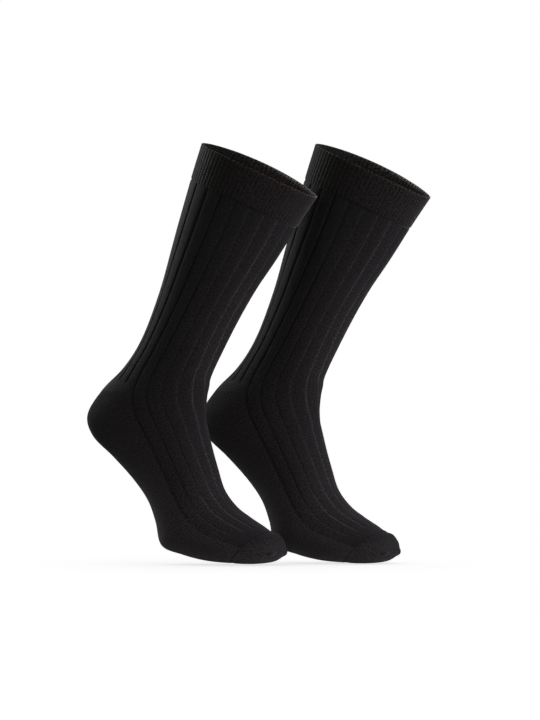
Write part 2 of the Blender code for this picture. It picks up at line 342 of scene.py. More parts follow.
# Each patch is painted light where its change is above 0 and painted shade where it is
# below.
PAINTED_PATCHES = [
    Patch(0.8, 10.0, 3.0, 1.6, 1.9),
    Patch(5.8, 7.3, 0.9, 1.3, 0.25),
    Patch(4.2, 0.0, 3.2, 1.2, 0.6),
    Patch(1.3, 2.8, 0.5, 1.7, -0.15),
    Patch(8.0, 9.6, 1.7, 1.7, -0.55),
    Patch(11.6, 10.0, 2.6, 1.4, 1.4),
    Patch(10.0, 8.6, 0.7, 2.4, 0.18),
    Patch(15.2, 6.2, 1.3, 1.1, -0.25),
    Patch(16.4, 0.0, 1.7, 2.7, -0.55),
    Patch(17.8, 7.0, 1.2, 2.4, 0.35),
    Patch(19.0, 0.5, 1.5, 2.6, -0.35),
]


def read_off(table, places):
    """Values between the rows of a table of pairs, at the given places."""
    return np.interp(places, *zip(*table))


def painted_side_light(stations, needles):
    """Painted light at front and back of the upper leg, painted shade at its sides."""
    round_leg = read_off(SIDE_PAINTED_LIGHT, np.abs(needles))
    share = 1 - smooth_step(*UPPER_LEG_ENDS, stations[:, None])
    return 1 + (round_leg - 1) * share


def painted_patch_tone(stations, needles):
    """1 elsewhere, more in a patch of painted light, less in one of painted shade."""
    round_leg = BACK - np.abs(BACK - np.abs(needles))
    tone = np.ones((len(stations), needles.shape[-1]))
    for patch in PAINTED_PATCHES:
        down = ((stations - patch.station) / patch.down)[:, None]
        aside = (round_leg - patch.needle) / patch.aside
        tone = tone * (1 + patch.change * np.exp(-down ** 2 - aside ** 2))
    return tone


leg_tones = painted_patch_tone(whole_sock, ALL_ROUND)
print("tones from", leg_tones.min().round(2), "to", leg_tones.max().round(2))

# %% [markdown]
# ## The fine rib of the cuff
#
# The top of a sock grips the leg with a 1x1 rib: one wale faces out and the next faces
# in, all the way round, so that the cloth closes up like a concertina. The rib could be
# painted on with a bump, but the mouth shows its eighty crests edge on, so they are
# modelled, both outside and inside. At the sides and the back the rib stays folded, and
# in front the leg pulls it almost flat. The edge at the mouth is a smooth roll, made
# from rows of points on a half circle between the two sides.

# %% Points of the cuff
CUFF_CREST, CUFF_FURROW = 0.20 * MM, 0.18 * MM
CREST_POWER = 0.8
INNER_FURROW = 0.35 * MM
PULLED_FLAT = 0.62
CUFF_DRIFT = 0.15 * MM
LIP_ANGLES = (75, 50, 25)
SEAM_DIP = 0.75 * MM
CUFF_DIP_REACH = 1.6 * MM


def cuff_crest(needles):
    """1 on a crest of the fine rib, 0 in a furrow."""
    return np.abs(np.sin(math.pi * needles * WALES_PER_RIB / 2)) ** CREST_POWER


def cuff_sides(stations, needles, rows):
    """Outer and inner points of the cuff, with the rolled lip above them."""
    points, out, along = cloth_grid(stations, needles)
    crest = cuff_crest(needles)[None, :]
    dip = SEAM_DIP * smooth_step(rows[-1] - CUFF_DIP_REACH, rows[-1], rows)
    deep = 1 - PULLED_FLAT * (1 - smooth_step(4.0, 6.5, np.abs(needles)))
    relief = (CUFF_CREST * crest - CUFF_FURROW * (1 - crest)) * deep - dip
    relief = relief + CUFF_DRIFT * drift(stations, needles)
    outer = points + out * relief[..., None]
    inner = points - out * (CLOTH + INNER_FURROW * (1 - crest))[..., None]
    middle, radius = (outer[0] + inner[0]) / 2, (outer[0] - inner[0]) / 2
    thick = np.linalg.norm(radius, axis=-1, keepdims=True)
    lip_outer, lip_inner = [], []
    for degrees in LIP_ANGLES:
        side = radius * math.cos(math.radians(degrees))
        top = along[0] * thick * math.sin(math.radians(degrees))
        lip_outer.append(middle + side - top)
        lip_inner.append(middle - side - top)
    return np.concatenate([lip_outer, outer]), np.concatenate([lip_inner, inner])


print("crests round the cuff:", NEEDLES * WALES_PER_RIB // 2)

# %% [markdown]
# ## Shades of the cuff
#
# A folded rib gets painted shade in its furrows, and a stretched one shows fine pale
# lines between its wales, with its crests painted paler. The elastic in the cuff is a
# touch brown, and the rolled edge gets a warm painted highlight, strongest along the far
# side of the mouth. Inside, painted light brightens the wall, most under the rim, where
# it is cooler, and painted shade darkens it towards the back. Where the cuff meets the
# leg lies a painted shadow line, and a band of painted light runs along the near rim
# outside. Each of these is a soft change along a row or down a column, so tables and
# steps describe them all.

# %% Colours of the lip, the outside and the inside
# Painted highlight on the rolled edge at each needle: warm and faint on the near side,
# strong and white along the far side.
LIP_AT = (-10, -8, -6.5, -5, -3, -1, 0.5, 1.6, 4.5, 6.5, 8.5, 10)
LIP_HIGHLIGHT_RED = (2.2, 2.4, 3.8, 4.2, 4.2, 3.8, 6, 26, 24, 10, 4, 2.6)
LIP_HIGHLIGHT_BLUE = (1.4, 1.2, 1.7, 2.0, 2.1, 2.2, 5, 26, 24, 10, 4, 1.6)
GREEN_FROM_RED, GREEN_FROM_BLUE = 0.35, 0.65
CUFF_SHADE, FURROW_SHADE, OPENED_PALER = 0.7, 0.5, 0.24
WALE_LINES, CREST_LINES, MEAN_CREST = 1.3, 0.6, 0.69
DARKEST = 0.05
FRONT_TINT, SIDE_TINT = (1.0, 0.965, 1.04), (1.06, 1.06, 0.72)
RIM_PAINTED_LIGHT, RIM_PAINTED_LIGHT_REACH = (1.1, 0.75, 0.6), 2.8 * MM
CUFF_SHADOW, CUFF_SHADOW_REACH = 0.95, 2.4 * MM
# Painted light inside the cuff: the whole wall brightened, a cooler band under the rim, more
# on the far wall, and painted shade towards the back.
INSIDE_PAINTED_FILL, INSIDE_BASE, INSIDE_OPEN = 1.9, 0.82, 0.25
INSIDE_TINT, RIM_TINT = (1.02, 1.06, 0.98), (0.92, 1.08, 1.15)
INSIDE_PAINTED_RIM_LIGHT, INSIDE_PAINTED_RIM_LIGHT_REACH = 0.22, 3.2 * MM
INSIDE_PAINTED_LIGHT_SHADE = [(-10, 0.5), (-8, 0.6), (-6, 1.0), (2, 2.3), (4, 2.8), (6, 2.2),
                (7.2, 1.1), (9, 0.45)]


def cuff_shadow_line(needles):
    """Strength of the painted shadow line under the cuff: strongest beside the shin."""
    from_front = np.abs(needles)
    beside = smooth_step(1.2, 2.6, from_front) * (1 - smooth_step(4.8, 6.2, from_front))
    return 0.2 + 0.8 * beside


def folded_share(needles):
    """0 in front, where the rib is stretched open, and 1 where it folds up."""
    return smooth_step(3.6, 5.8, np.abs(needles))


# Colour of the rolled edge, painted paler and warm as a highlight.
def painted_lip_highlight(needles):
    red, blue = (np.interp(needles, LIP_AT, tone) for tone in (LIP_HIGHLIGHT_RED, LIP_HIGHLIGHT_BLUE))
    green = GREEN_FROM_RED * red + GREEN_FROM_BLUE * blue
    return np.tile(np.stack([red, green, blue], axis=-1), (len(LIP_ANGLES), 1, 1))


# Outside of the cuff: painted shade in the furrows where the rib is folded, and in front the
# crests painted paler than the furrows.
def cuff_outside(stations, needles, rows):
    crest, opened = cuff_crest(needles), 1 - folded_share(needles)
    lines = np.cos(2 * math.pi * needles * WALES_PER_RIB)
    furrow = (1 - opened) * (1 - crest)
    shade = (CUFF_SHADE - FURROW_SHADE * furrow + OPENED_PALER * opened
             + WALE_LINES * opened * lines)
    shade = shade + CREST_LINES * opened * (crest - MEAN_CREST)
    tone = np.maximum(shade, DARKEST)[None, :]
    tone = tone * painted_side_light(stations, needles) * painted_patch_tone(stations, needles)
    # Painted shadow line along the bottom of the cuff.
    bottom = smooth_step(rows[-1] - CUFF_SHADOW_REACH, rows[-1], rows)
    tone = tone * (1 - CUFF_SHADOW * bottom * cuff_shadow_line(needles))
    # Painted light, warm, in a band along the near side of the rim.
    near = smooth_step(-9.0, -6.0, needles) * (1 - smooth_step(-1.0, 1.0, needles))
    glow = (1 - smooth_step(0.0, RIM_PAINTED_LIGHT_REACH, rows)) * near
    at_side = smooth_step(3.8, 5.8, np.abs(needles))[:, None]
    colour = np.array(FRONT_TINT) * (1 - at_side) + np.array(SIDE_TINT) * at_side
    return tone[..., None] * (colour * (1 + glow[..., None] * np.array(RIM_PAINTED_LIGHT)))


# Inside of the cuff, with painted light and painted shade.
def cuff_inside(needles, rows):
    furrow = (1 - folded_share(needles)) * (1 - cuff_crest(needles))
    shade = INSIDE_BASE + INSIDE_OPEN * furrow
    at_rim = 1 - smooth_step(0.0, INSIDE_PAINTED_RIM_LIGHT_REACH, rows)
    glow = 1 + INSIDE_PAINTED_RIM_LIGHT * np.interp(needles, LIP_AT, LIP_HIGHLIGHT_BLUE)[None, :] * at_rim
    tone = INSIDE_PAINTED_FILL * shade[None, :] * glow * read_off(INSIDE_PAINTED_LIGHT_SHADE, needles)
    colour = np.array(INSIDE_TINT) + at_rim[..., None] * np.subtract(RIM_TINT, INSIDE_TINT)
    return tone[..., None] * colour


print("lip tone in front:", painted_lip_highlight(ALL_ROUND)[0, BACK].round(2))

# %% [markdown]
# ## Joining the cuff
#
# The finish draws the cuff in columns two wales wide, pale in their middle. Where the
# rib is folded they have to fall on its crests, so there the stitch map is moved by one
# wale, and it glides back over the stretch that opens up.

# %% Cuff mesh
CUFF_ROW = 1.3 * MM
CUFF_COLUMNS = 8
LIP_START = 0.02


def cuff_mesh():
    stations = even_rows("mouth", "welt", CUFF_ROW)
    stations = LIP_START + (1 - LIP_START) * stations
    per_rib = WALES_PER_RIB // 2 * CUFF_COLUMNS
    needles = np.arange(NEEDLES * per_rib) / per_rib - BACK
    rows = lengths_along(stations)[:, None]
    outer, inner = cuff_sides(stations, needles, rows)
    count = np.concatenate([-np.array(LIP_ANGLES) / 90, rows[:, 0] / CUFF_COURSE])
    courses = np.tile(count[:, None], (1, len(needles) + 1))
    moved = needles * WALES_PER_RIB + folded_share(needles)
    wales = np.tile(np.append(moved, BACK * WALES_PER_RIB + 1), (len(count), 1))
    lip = painted_lip_highlight(needles)
    outside = np.concatenate([lip, cuff_outside(stations, needles, rows)])
    inside = np.concatenate([lip, cuff_inside(needles, rows)])
    return knit_shell("cuff", outer, inner, wales, courses, outside, inside)


cuff = cuff_mesh()
print("cuff faces:", len(cuff.polygons))

# %% [markdown]
# ## Grooves between wide ribs
#
# Below the cuff the machine knits seven wales to the front and one to the back. The
# single one sinks in and leaves a narrow groove between two wide, almost flat ribs. A
# bump could draw it, but the edge of the leg shows the deep ones as notches. At the
# shin the grooves are stretched open and shallow, with a painted highlight and a faint
# halo, and at the sides and the back they close up and deep, with painted shade at the
# sides. Tables give the depth in millimetres and the painted light and shade of each,
# for leg and foot, and one more moves along them where the ribs turn.

# %% Depth and shade of the grooves
DEPTHS = ([(2, 0.25), (3, 0.30), (4, 0.60), (5, 1.30), (6, 1.70), (7, 1.00), (8, 0.50)],
          [(1, 0.25), (2, 0.30), (3, 0.50), (4, 0.75)])
# Painted highlight along open grooves and painted shade in shut ones, for leg and foot.
GROOVE_PAINTED_LIGHT = ([(0, 0.9), (1, 2.1), (2, 1.6), (3, 0.7), (4, 0.0), (5, -0.6), (6, -0.75),
          (7, -0.4), (8, 0.0)],
         [(0, 0.8), (1, 2.1), (2, 1.2), (3, 0.1), (4, -0.2), (5, -0.4)])
GROOVE_SHIFT = [(2.5, 0.0), (3.5, 0.8), (5.8, 0.8), (6.6, 0.0), (12.6, 0.0), (13.6, -1.3)]
LEG_TO_FOOT = (6.2, 7.2)
GROOVE_HALF, HALO_HALF, SHOULDER_HALF = 0.12, 0.4, 0.5
GROOVE_HALO_HIGHLIGHT = 0.12
RIB_ROUND = 0.22 * MM
LEG_TONE = [(1, 0.64), (3, 0.70), (5, 0.86), (8, 0.85), (12, 1.22), (15, 1.78),
            (16.2, 1.5), (17, 1.0)]
BACK_RIBS_END, SIDE_RIBS_END, FOOT_RIBS_END = 6.55, 13.6, 16.0
FADE_BEFORE, FADE_AFTER = 0.14, 0.02


def by_groove(stations, needles, tables):
    """A value of the nearest groove, from its tables for leg and foot."""
    groove = np.abs(np.round(needles)) + read_off(GROOVE_SHIFT, stations)[:, None]
    on_leg, on_foot = (read_off(table, groove) for table in tables)
    foot_share = smooth_step(*LEG_TO_FOOT, stations[:, None])
    return on_leg * (1 - foot_share) + on_foot * foot_share


def groove_line(needles, half):
    """1 in the middle of a groove, and 0 from half a width away."""
    return 1 - smooth_step(0.0, half, np.abs(needles - np.round(needles)))


def runs_to(end, stations):
    """1 until just before the end, and 0 from just after it."""
    return 1 - smooth_step(end - FADE_BEFORE, end + FADE_AFTER, stations)


def rib_ends(stations, needles):
    """1 where a groove runs, fading to 0 above the heel and before the toe."""
    groove = np.abs(np.round(needles))
    end = np.where(groove < SIDE, FOOT_RIBS_END, SIDE_RIBS_END)
    end = np.where(groove > SIDE, BACK_RIBS_END, end)
    return runs_to(end, stations[:, None])


def rib_relief(stations, needles):
    """How far the outside lies below the crown of a wide rib."""
    depth = by_groove(stations, needles, DEPTHS) * MM
    shoulder = groove_line(needles, SHOULDER_HALF) ** 2
    hollow = depth * groove_line(needles, GROOVE_HALF) + RIB_ROUND * shoulder
    return hollow * rib_ends(stations, needles)


def rib_tone(stations, needles):
    """Painted highlight in each open groove, and painted shade in each shut one."""
    line = groove_line(needles, GROOVE_HALF) + GROOVE_HALO_HIGHLIGHT * groove_line(needles, HALO_HALF)
    line = line * rib_ends(stations, needles)
    slow = read_off(LEG_TONE, stations)[:, None]
    even = slow * painted_side_light(stations, needles) * painted_patch_tone(stations, needles)
    return even * (1 + by_groove(stations, needles, GROOVE_PAINTED_LIGHT) * line)


deepest = by_groove(whole_sock, ALL_ROUND, DEPTHS).max()
print("deepest groove:", round(float(deepest), 2), "mm")

# %% [markdown]
# ## The leg and instep
#
# The wide ribs run down the leg and over the foot without a break, so the leg and the
# instep are one piece of cloth, which goes only half round below the ankle. The ribs
# stop above the heel and short of the toe. Each groove is a valley with steep walls, so
# columns of points lie close together there and far apart across the flat rib. At both
# ends the cloth dips in, under the cuff and into the toe seam.

# %% Leg mesh
RIB_OFFSETS = (0.0, 0.03, 0.06, 0.09, 0.13, 0.24, 0.50, 0.76, 0.87, 0.91, 0.94, 0.97)
LEG_ROW = 2.3 * MM
LEG_DRIFT = 0.2 * MM
CUFF_REACH, TOE_REACH = 2.2 * MM, 2.4 * MM
UNDER_CUFF_SHADOW = 0.85
SEAM_SHADE = 0.2


def leg_mesh():
    tube = even_rows("welt", "heel_top", LEG_ROW)
    foot = even_rows("heel_top", "toe_seam", LEG_ROW)
    stations = np.concatenate([tube, foot[1:]])
    needles = np.concatenate([rib + np.array(RIB_OFFSETS) for rib in range(-BACK, BACK)])
    points, out, _ = cloth_grid(stations, needles)
    rows = lengths_along(stations)[:, None]
    from_cuff = smooth_step(0.0, CUFF_REACH, rows)
    from_toe = smooth_step(0.0, TOE_REACH, rows[-1] - rows)
    dip = SEAM_DIP * (2 - from_cuff - from_toe)
    relief = LEG_DRIFT * drift(stations, needles) - rib_relief(stations, needles) - dip
    outer = points + out * relief[..., None]
    inner = points - out * CLOTH
    courses = np.tile(rows / LEG_COURSE, (1, len(needles) + 1))
    wales = np.tile(np.append(needles, BACK) * WALES_PER_RIB, (len(stations), 1))
    used = np.ones((len(stations) - 1, len(needles)), dtype=bool)
    on_instep = (needles >= -SIDE) & (needles < SIDE)
    used[len(tube) - 1:, ~on_instep] = False
    under_cuff = UNDER_CUFF_SHADOW * (1 - from_cuff) * cuff_shadow_line(needles)
    tone = rib_tone(stations, needles) * (1 - under_cuff)
    tone = tone * (SEAM_SHADE + (1 - SEAM_SHADE) * from_toe)
    return knit_shell("leg", outer, inner, wales, courses, tone, used=used)


leg = leg_mesh()
print("leg faces:", len(leg.polygons))

# %% [markdown]
# ## The heel and the sole
#
# The heel is a plain pocket that the machine knits to and fro across half its needles,
# and the sole goes on from it, plain too. They are smooth patches of the same form,
# with a shallow dip along the ribs. Their courses are counted by distance along the
# cloth, so that they fan out round the pocket as on a real heel. The pocket is darkest,
# with painted shade on its back, and the sole gets paler towards the ball.

# %% Patches of plain knitting
PLAIN_ROW = 2.2 * MM
PLAIN_COLUMNS = 6
HEEL_WALES_PER_RIB, SOLE_WALES_PER_RIB = 7.5, 6
EDGE_DIP, EDGE_DIP_REACH = 0.6 * MM, 0.2
EDGE_SHADOW, EDGE_SHADOW_REACH = 0.45, 0.12
PLAIN_TONE = [(7, 1.0), (10, 1.3), (12, 2.3), (13, 2.4), (15, 3.0), (17, 2.75)]
HEEL_BACK_PAINTED_SHADE = 0.45
SOLE_SEAM_SHADE = 0.3


def walked(points, axis):
    """Distance along a grid from its first row or column, in metres."""
    steps = np.linalg.norm(np.diff(points, axis=axis), axis=2)
    start = np.zeros_like(np.take(steps, [0], axis=axis))
    return np.concatenate([start, np.cumsum(steps, axis=axis)], axis=axis)


def plain_tone(stations, needles, from_edge):
    """Painted shade at the heel's back and along the ribs, paler towards the ball."""
    rows = stations[:, None]
    at_back = smooth_step(7.2, 9.6, BACK - np.abs(BACK - needles))
    at_heel = 1 - smooth_step(10.2, 11.5, rows)
    tone = read_off(PLAIN_TONE, stations)[:, None]
    tone = tone * (1 - (1 - HEEL_BACK_PAINTED_SHADE) * at_back * at_heel)
    tone = tone * painted_patch_tone(stations, needles)
    at_edge = 1 - smooth_step(0.0, EDGE_SHADOW_REACH, from_edge)
    return tone * (1 - EDGE_SHADOW * at_edge * runs_to(SIDE_RIBS_END, rows))


def patch_mesh(name, top, bottom, wales_per_rib):
    """A plain patch over the back half of the tube between two sections."""
    stations = even_rows(top, bottom, PLAIN_ROW)
    first, last = SIDE, NEEDLES - SIDE
    needles = np.linspace(first, last, (last - first) * PLAIN_COLUMNS + 1)
    points, out, _ = cloth_grid(stations, needles)
    from_edge = np.minimum(needles - first, last - needles)
    beside_ribs = runs_to(SIDE_RIBS_END, stations[:, None])
    dip = EDGE_DIP * (1 - smooth_step(0.0, EDGE_DIP_REACH, from_edge)) * beside_ribs
    relief = LEG_DRIFT * drift(stations, needles) - dip
    tone = plain_tone(stations, needles, from_edge)
    outer = points + out * relief[..., None]
    if bottom == "toe_seam":
        length = lengths_along(stations)[:, None]
        from_toe = smooth_step(0.0, TOE_REACH, length[-1] - length)
        outer = outer - out * (SEAM_DIP * (1 - from_toe))[..., None]
        tone = tone * (SOLE_SEAM_SHADE + (1 - SOLE_SEAM_SHADE) * from_toe)
    wales = np.tile(needles * wales_per_rib, (len(stations), 1))
    return knit_shell(name, outer, points - out * CLOTH, wales,
                      walked(points, 0) / PLAIN_COURSE, tone)


heel = patch_mesh("heel", "heel_top", "heel_end", HEEL_WALES_PER_RIB)
sole = patch_mesh("sole", "heel_end", "toe_seam", SOLE_WALES_PER_RIB)
print("heel faces:", len(heel.polygons), "sole faces:", len(sole.polygons))

# %% [markdown]
# ## The toe cap
#
# The toe is plain knitting again, in a thicker yarn, and it puffs up a little behind
# its seam. A flat lid could close it, but a real toe is round, so four more rings draw
# in towards one point, quickly sideways and slowly forwards. Its wales are counted from
# the middle of the top and of the underside, and meet at the sides. There each end of
# the seam leaves a small ear, which gets a painted highlight.

# %% Toe mesh
TOE_ROW = 1.8 * MM
TOE_CROWN, TOE_CROWN_REACH = 0.35 * MM, 4 * MM
TOE_SUNK = 0.3 * MM
TOE_DRIFT = 0.1 * MM
TOE_WALE = 1.9 * MM
NOSE_SHARES = (0.35, 0.65, 0.9, 0.999)
TOE_SEAM_SHADE, TOE_SHADE_REACH = 0.45, 1.8 * MM
EAR_HIGHLIGHT, EAR_NEEDLE, EAR_WIDE = 0.9, 6.4, 0.8
EAR_REACH = (1.5 * MM, 6 * MM)


def with_nose(side, tip):
    """The rings of one side, and those that draw them in to a point."""
    rings = [side]
    for share in NOSE_SHARES:
        bulge = math.sqrt(1 - (1 - share) ** 2)
        rings.append((side[-1] + (tip - side[-1]) * [[bulge, share, share]])[None])
    return np.concatenate(rings)


def closed(grid):
    """A grid with its first column repeated after its last."""
    return np.concatenate([grid, grid[:, :1]], axis=1)


def toe_wales(outer, needles):
    """Wales counted from the middle of the top, and from the middle underneath."""
    arc = walked(closed(outer), 1)
    line = np.append(needles, BACK)
    top_arc = np.array([np.interp(0.0, line, row) for row in arc])[:, None]
    base_arc = np.where(line > 0, arc[:, -1:], arc[:, :1])
    return np.where(np.abs(line) <= SIDE, arc - top_arc, arc - base_arc) / TOE_WALE


def toe_tone(stations, needles, from_seam):
    """Dark in the seam, with a painted highlight on the ear at each end of it."""
    shade = TOE_SEAM_SHADE + (1 - TOE_SEAM_SHADE) * smooth_step(
        0.0, TOE_SHADE_REACH, from_seam)
    ear = np.exp(-((np.abs(needles) - EAR_NEEDLE) / EAR_WIDE) ** 2)[None, :]
    ear = ear * (1 - smooth_step(*EAR_REACH, from_seam))
    return shade * painted_patch_tone(stations, needles) * (1 + EAR_HIGHLIGHT * ear)


def toe_mesh():
    stations = even_rows("toe_seam", "toe_nose", TOE_ROW)
    needles = np.arange(-BACK, BACK, 1 / PLAIN_COLUMNS)
    points, out, _ = cloth_grid(stations, needles)
    rows = lengths_along(stations)[:, None]
    puff = TOE_CROWN * smooth_step(0.0, TOE_CROWN_REACH, rows) - TOE_SUNK
    relief = puff + TOE_DRIFT * drift(stations, needles)
    tip = np.array(TOE_TIP) * MM
    outer = with_nose(points + out * relief[..., None], tip)
    inner = with_nose(points - out * CLOTH, tip - np.array([CLOTH, 0.0, 0.0]))
    held = np.append(np.arange(len(rows)), [-1] * len(NOSE_SHARES))
    return knit_shell("toe", outer, inner, toe_wales(outer, needles),
                      closed(walked(outer, 0) / TOE_COURSE),
                      toe_tone(stations[held], needles, rows[held]))


toe = toe_mesh()
print("toe faces:", len(toe.polygons))

# %% [markdown]
# ## The linked toe seam
#
# The open end of the tube is closed by linking: a chain stitch joins the last loops of
# the instep to the toe cap, from one side of the foot to the other. It shows as a thin
# ridge that fades out at both ends. Every loop could be modelled as a ring, but two
# strands that swing past each other, one up where the other is down, read as a chain
# too, and stay cheap.

# %% A tube of yarn
YARN = 0.36 * MM
YARN_SIDES = 6
ANY_SIDE = (0.31, 0.22, 0.92)


def yarn_ring(path, place, side, lift):
    """Points round the yarn at one place, on a smaller circle near its ends."""
    to_end = min(place, len(path) - 1 - place)
    radius = YARN * math.sqrt(min(1.0, to_end / 2 + 0.05))
    turns = [2 * math.pi * corner / YARN_SIDES for corner in range(YARN_SIDES)]
    return [path[place] + (side * math.cos(turn) + lift * math.sin(turn)) * radius
            for turn in turns]


def yarn_mesh(name, paths):
    """Round yarns along a list of point lines, with a stitch map along them."""
    points, faces, marks = [], [], []
    for path in paths:
        along = unit(np.gradient(path, axis=0))
        side = unit(np.cross(along, np.array(ANY_SIDE)))
        lift = np.cross(along, side)
        course = walked(path[:, None], 0)[:, 0] / LEG_COURSE
        start = len(points)
        for place in range(len(path)):
            points += yarn_ring(path, place, side[place], lift[place])
        for i, j in np.ndindex(len(path) - 1, YARN_SIDES):
            corners = [(i, j), (i, j + 1), (i + 1, j + 1), (i + 1, j)]
            faces.append([start + row * YARN_SIDES + corner % YARN_SIDES
                          for row, corner in corners])
            marks += [(corner / YARN_SIDES, course[row]) for row, corner in corners]
        ring = np.arange(YARN_SIDES)
        faces += [(start + ring[::-1]).tolist(), (len(points) - YARN_SIDES + ring).tolist()]
        marks += [(0.0, 0.0)] * (2 * YARN_SIDES)
    data = bpy.data.meshes.new(name)
    data.from_pydata([tuple(point) for point in points], [], faces)
    data.uv_layers.new(name=STITCH_MAP).data.foreach_set("uv", np.array(marks).ravel())
    tint(data, np.ones((len(points), 3)))
    data.shade_smooth()
    return data


print("yarn:", round(2 * YARN / MM, 2), "mm thick")

# %% Chain stitch along the toe
CHAIN_LOOP = 1.9 * MM
CHAIN_SWING = 0.45 * MM
CHAIN_LIFT, CHAIN_RISE = 0.12 * MM, 0.16 * MM
CHAIN_REACH = 5.6
STEPS_PER_LOOP = 8


def chain_mesh():
    station = np.array([float(STATION["toe_seam"])])
    line = skin(station, np.linspace(-CHAIN_REACH, CHAIN_REACH, 200))
    loops = int(walked(line, 1)[0, -1] / CHAIN_LOOP)
    needles = np.linspace(-CHAIN_REACH, CHAIN_REACH, loops * STEPS_PER_LOOP + 1)
    points, out, along = (grid[0] for grid in cloth_grid(station, needles))
    phase = np.linspace(0.0, 2 * math.pi * loops, len(needles))[:, None]
    strands = []
    for start in (0.0, math.pi):
        sway = along * CHAIN_SWING * np.sin(phase / 2 + start)
        rise = out * (CHAIN_LIFT + CHAIN_RISE * np.cos(phase + start))
        strands.append(points + sway + rise)
    return yarn_mesh("toe_chain", strands), loops


toe_chain, loop_count = chain_mesh()
print("chain stitches across the toe:", loop_count)

# %% [markdown]
# ## A helper for shader nodes
#
# A finish is a small network of nodes, and adding them one at a time hides what they
# do. This class has a short method for each step. A value can be a number, a colour or
# the output of another node, so that a pattern reads like a few lines of arithmetic.

# %% Nodes of one material
class Nodes:
    """Adds nodes to one material and joins them."""

    def __init__(self, name):
        self.material = bpy.data.materials.new(name)
        self.material.use_nodes = True
        self.tree = self.material.node_tree
        self.shader = self.tree.nodes["Principled BSDF"].inputs

    def feed(self, socket, value):
        """Join a socket to another node, or set its number or opaque colour."""
        if isinstance(value, bpy.types.NodeSocket):
            self.tree.links.new(value, socket)
        else:
            socket.default_value = (*value, 1.0) if socket.type == "RGBA" else value

    def add(self, kind, inputs=(), **settings):
        """The outputs of a new node, after its settings and its pairs of inputs."""
        node = self.tree.nodes.new(kind)
        for name, value in settings.items():
            setattr(node, name, value)
        for name, value in inputs:
            self.feed(node.inputs[name], value)
        return node.outputs

    def maths(self, operation, *values, **settings):
        return self.add(
            "ShaderNodeMath", enumerate(values), operation=operation, **settings)[0]

    def stitches(self):
        """The place in the stitch map."""
        return self.add("ShaderNodeUVMap", uv_map=STITCH_MAP)["UV"]

    def noise(self, scale, detail=2.0, roughness=0.5, place=None):
        """Noise fixed in the cloth, in cells to a metre unless a place is given."""
        place = place or self.add("ShaderNodeTexCoord")["Object"]
        return self.add("ShaderNodeTexNoise", (
            ("Vector", place), ("Scale", scale), ("Detail", detail),
            ("Roughness", roughness)))["Fac"]

    def yarn_noise(self, wales, courses):
        """Noise in stitches: cells to a wale across, and to a course down."""
        place = self.add("ShaderNodeVectorMath", enumerate(
            (self.stitches(), (wales, courses, 1.0))), operation="MULTIPLY")[0]
        return self.noise(1.0, 1.5, place=place)

    def shade(self, amount, low, high, **settings):
        """A colour between two, by an amount from 0 to 1."""
        return self.add("ShaderNodeMix", (
            ("Factor", amount), ("A", low), ("B", high)), data_type="RGBA",
            **settings)["Result"]

    def toned(self, colour):
        """A colour multiplied by the tone of each point."""
        tone = self.add("ShaderNodeAttribute", attribute_name=TONE)["Color"]
        return self.shade(1.0, colour, tone, blend_type="MULTIPLY")


print("steps:", [name for name in vars(Nodes) if name[0] != "_"])

# %% [markdown]
# ## A knitted finish
#
# Real stitches are too small and too many to model, so shader nodes draw them from the
# stitch map. Each wale is a rounded column, and its two halves lean away from each
# other as a V. A few maths nodes give the height of that pattern, and a bump node tilts
# the light with it. Noise adds loose fibre and slow changes of shade. Yarn is matt,
# with a soft glow of fuzz where the cloth turns away, which the sheen is for.

# %% Stitches, fibre and fuzz
FINISH = {}
COLUMN_POWER, SLANT = 1.6, 0.6
FIBRE_NOISE, WEAR_NOISE = (2600.0, 3.0, 0.65), (26.0, 3.0, 0.6)
YARN_CONTRAST, YARN_BUMP = 7.0, 0.4
HEIGHT_TO_SHADE, SHADE_START = 1.1, -0.35
YARN_TO_SHADE, WEAR_TO_SHADE = 0.6, 0.25
FIBRE_TO_ROUGH = 0.12
SHEEN_ROUGHNESS, SHEEN_TINT = 0.35, (0.95, 0.94, 1.0, 1.0)


def knit_height(nodes, column):
    """Height of the stitches from 0 to 1, in columns so many wales wide."""
    spot = nodes.add("ShaderNodeSeparateXYZ", [(0, nodes.stitches())])
    wale = nodes.maths("DIVIDE", spot["X"], column)
    across = nodes.maths("ABSOLUTE", nodes.maths(
        "SUBTRACT", nodes.maths("FRACT", nodes.maths("ADD", wale, 0.5)), 0.5))
    edge = nodes.maths("POWER", nodes.maths("MULTIPLY", across, 2.0), COLUMN_POWER)
    lean = nodes.maths("MULTIPLY", across, SLANT)
    turn = nodes.maths("MULTIPLY", nodes.maths("ADD", spot["Y"], lean), 2 * math.pi)
    wave = nodes.maths("MULTIPLY", nodes.maths("SINE", turn), 0.5)
    return nodes.maths(
        "MULTIPLY", nodes.maths("SUBTRACT", 1.0, edge), nodes.maths("ADD", wave, 0.5))


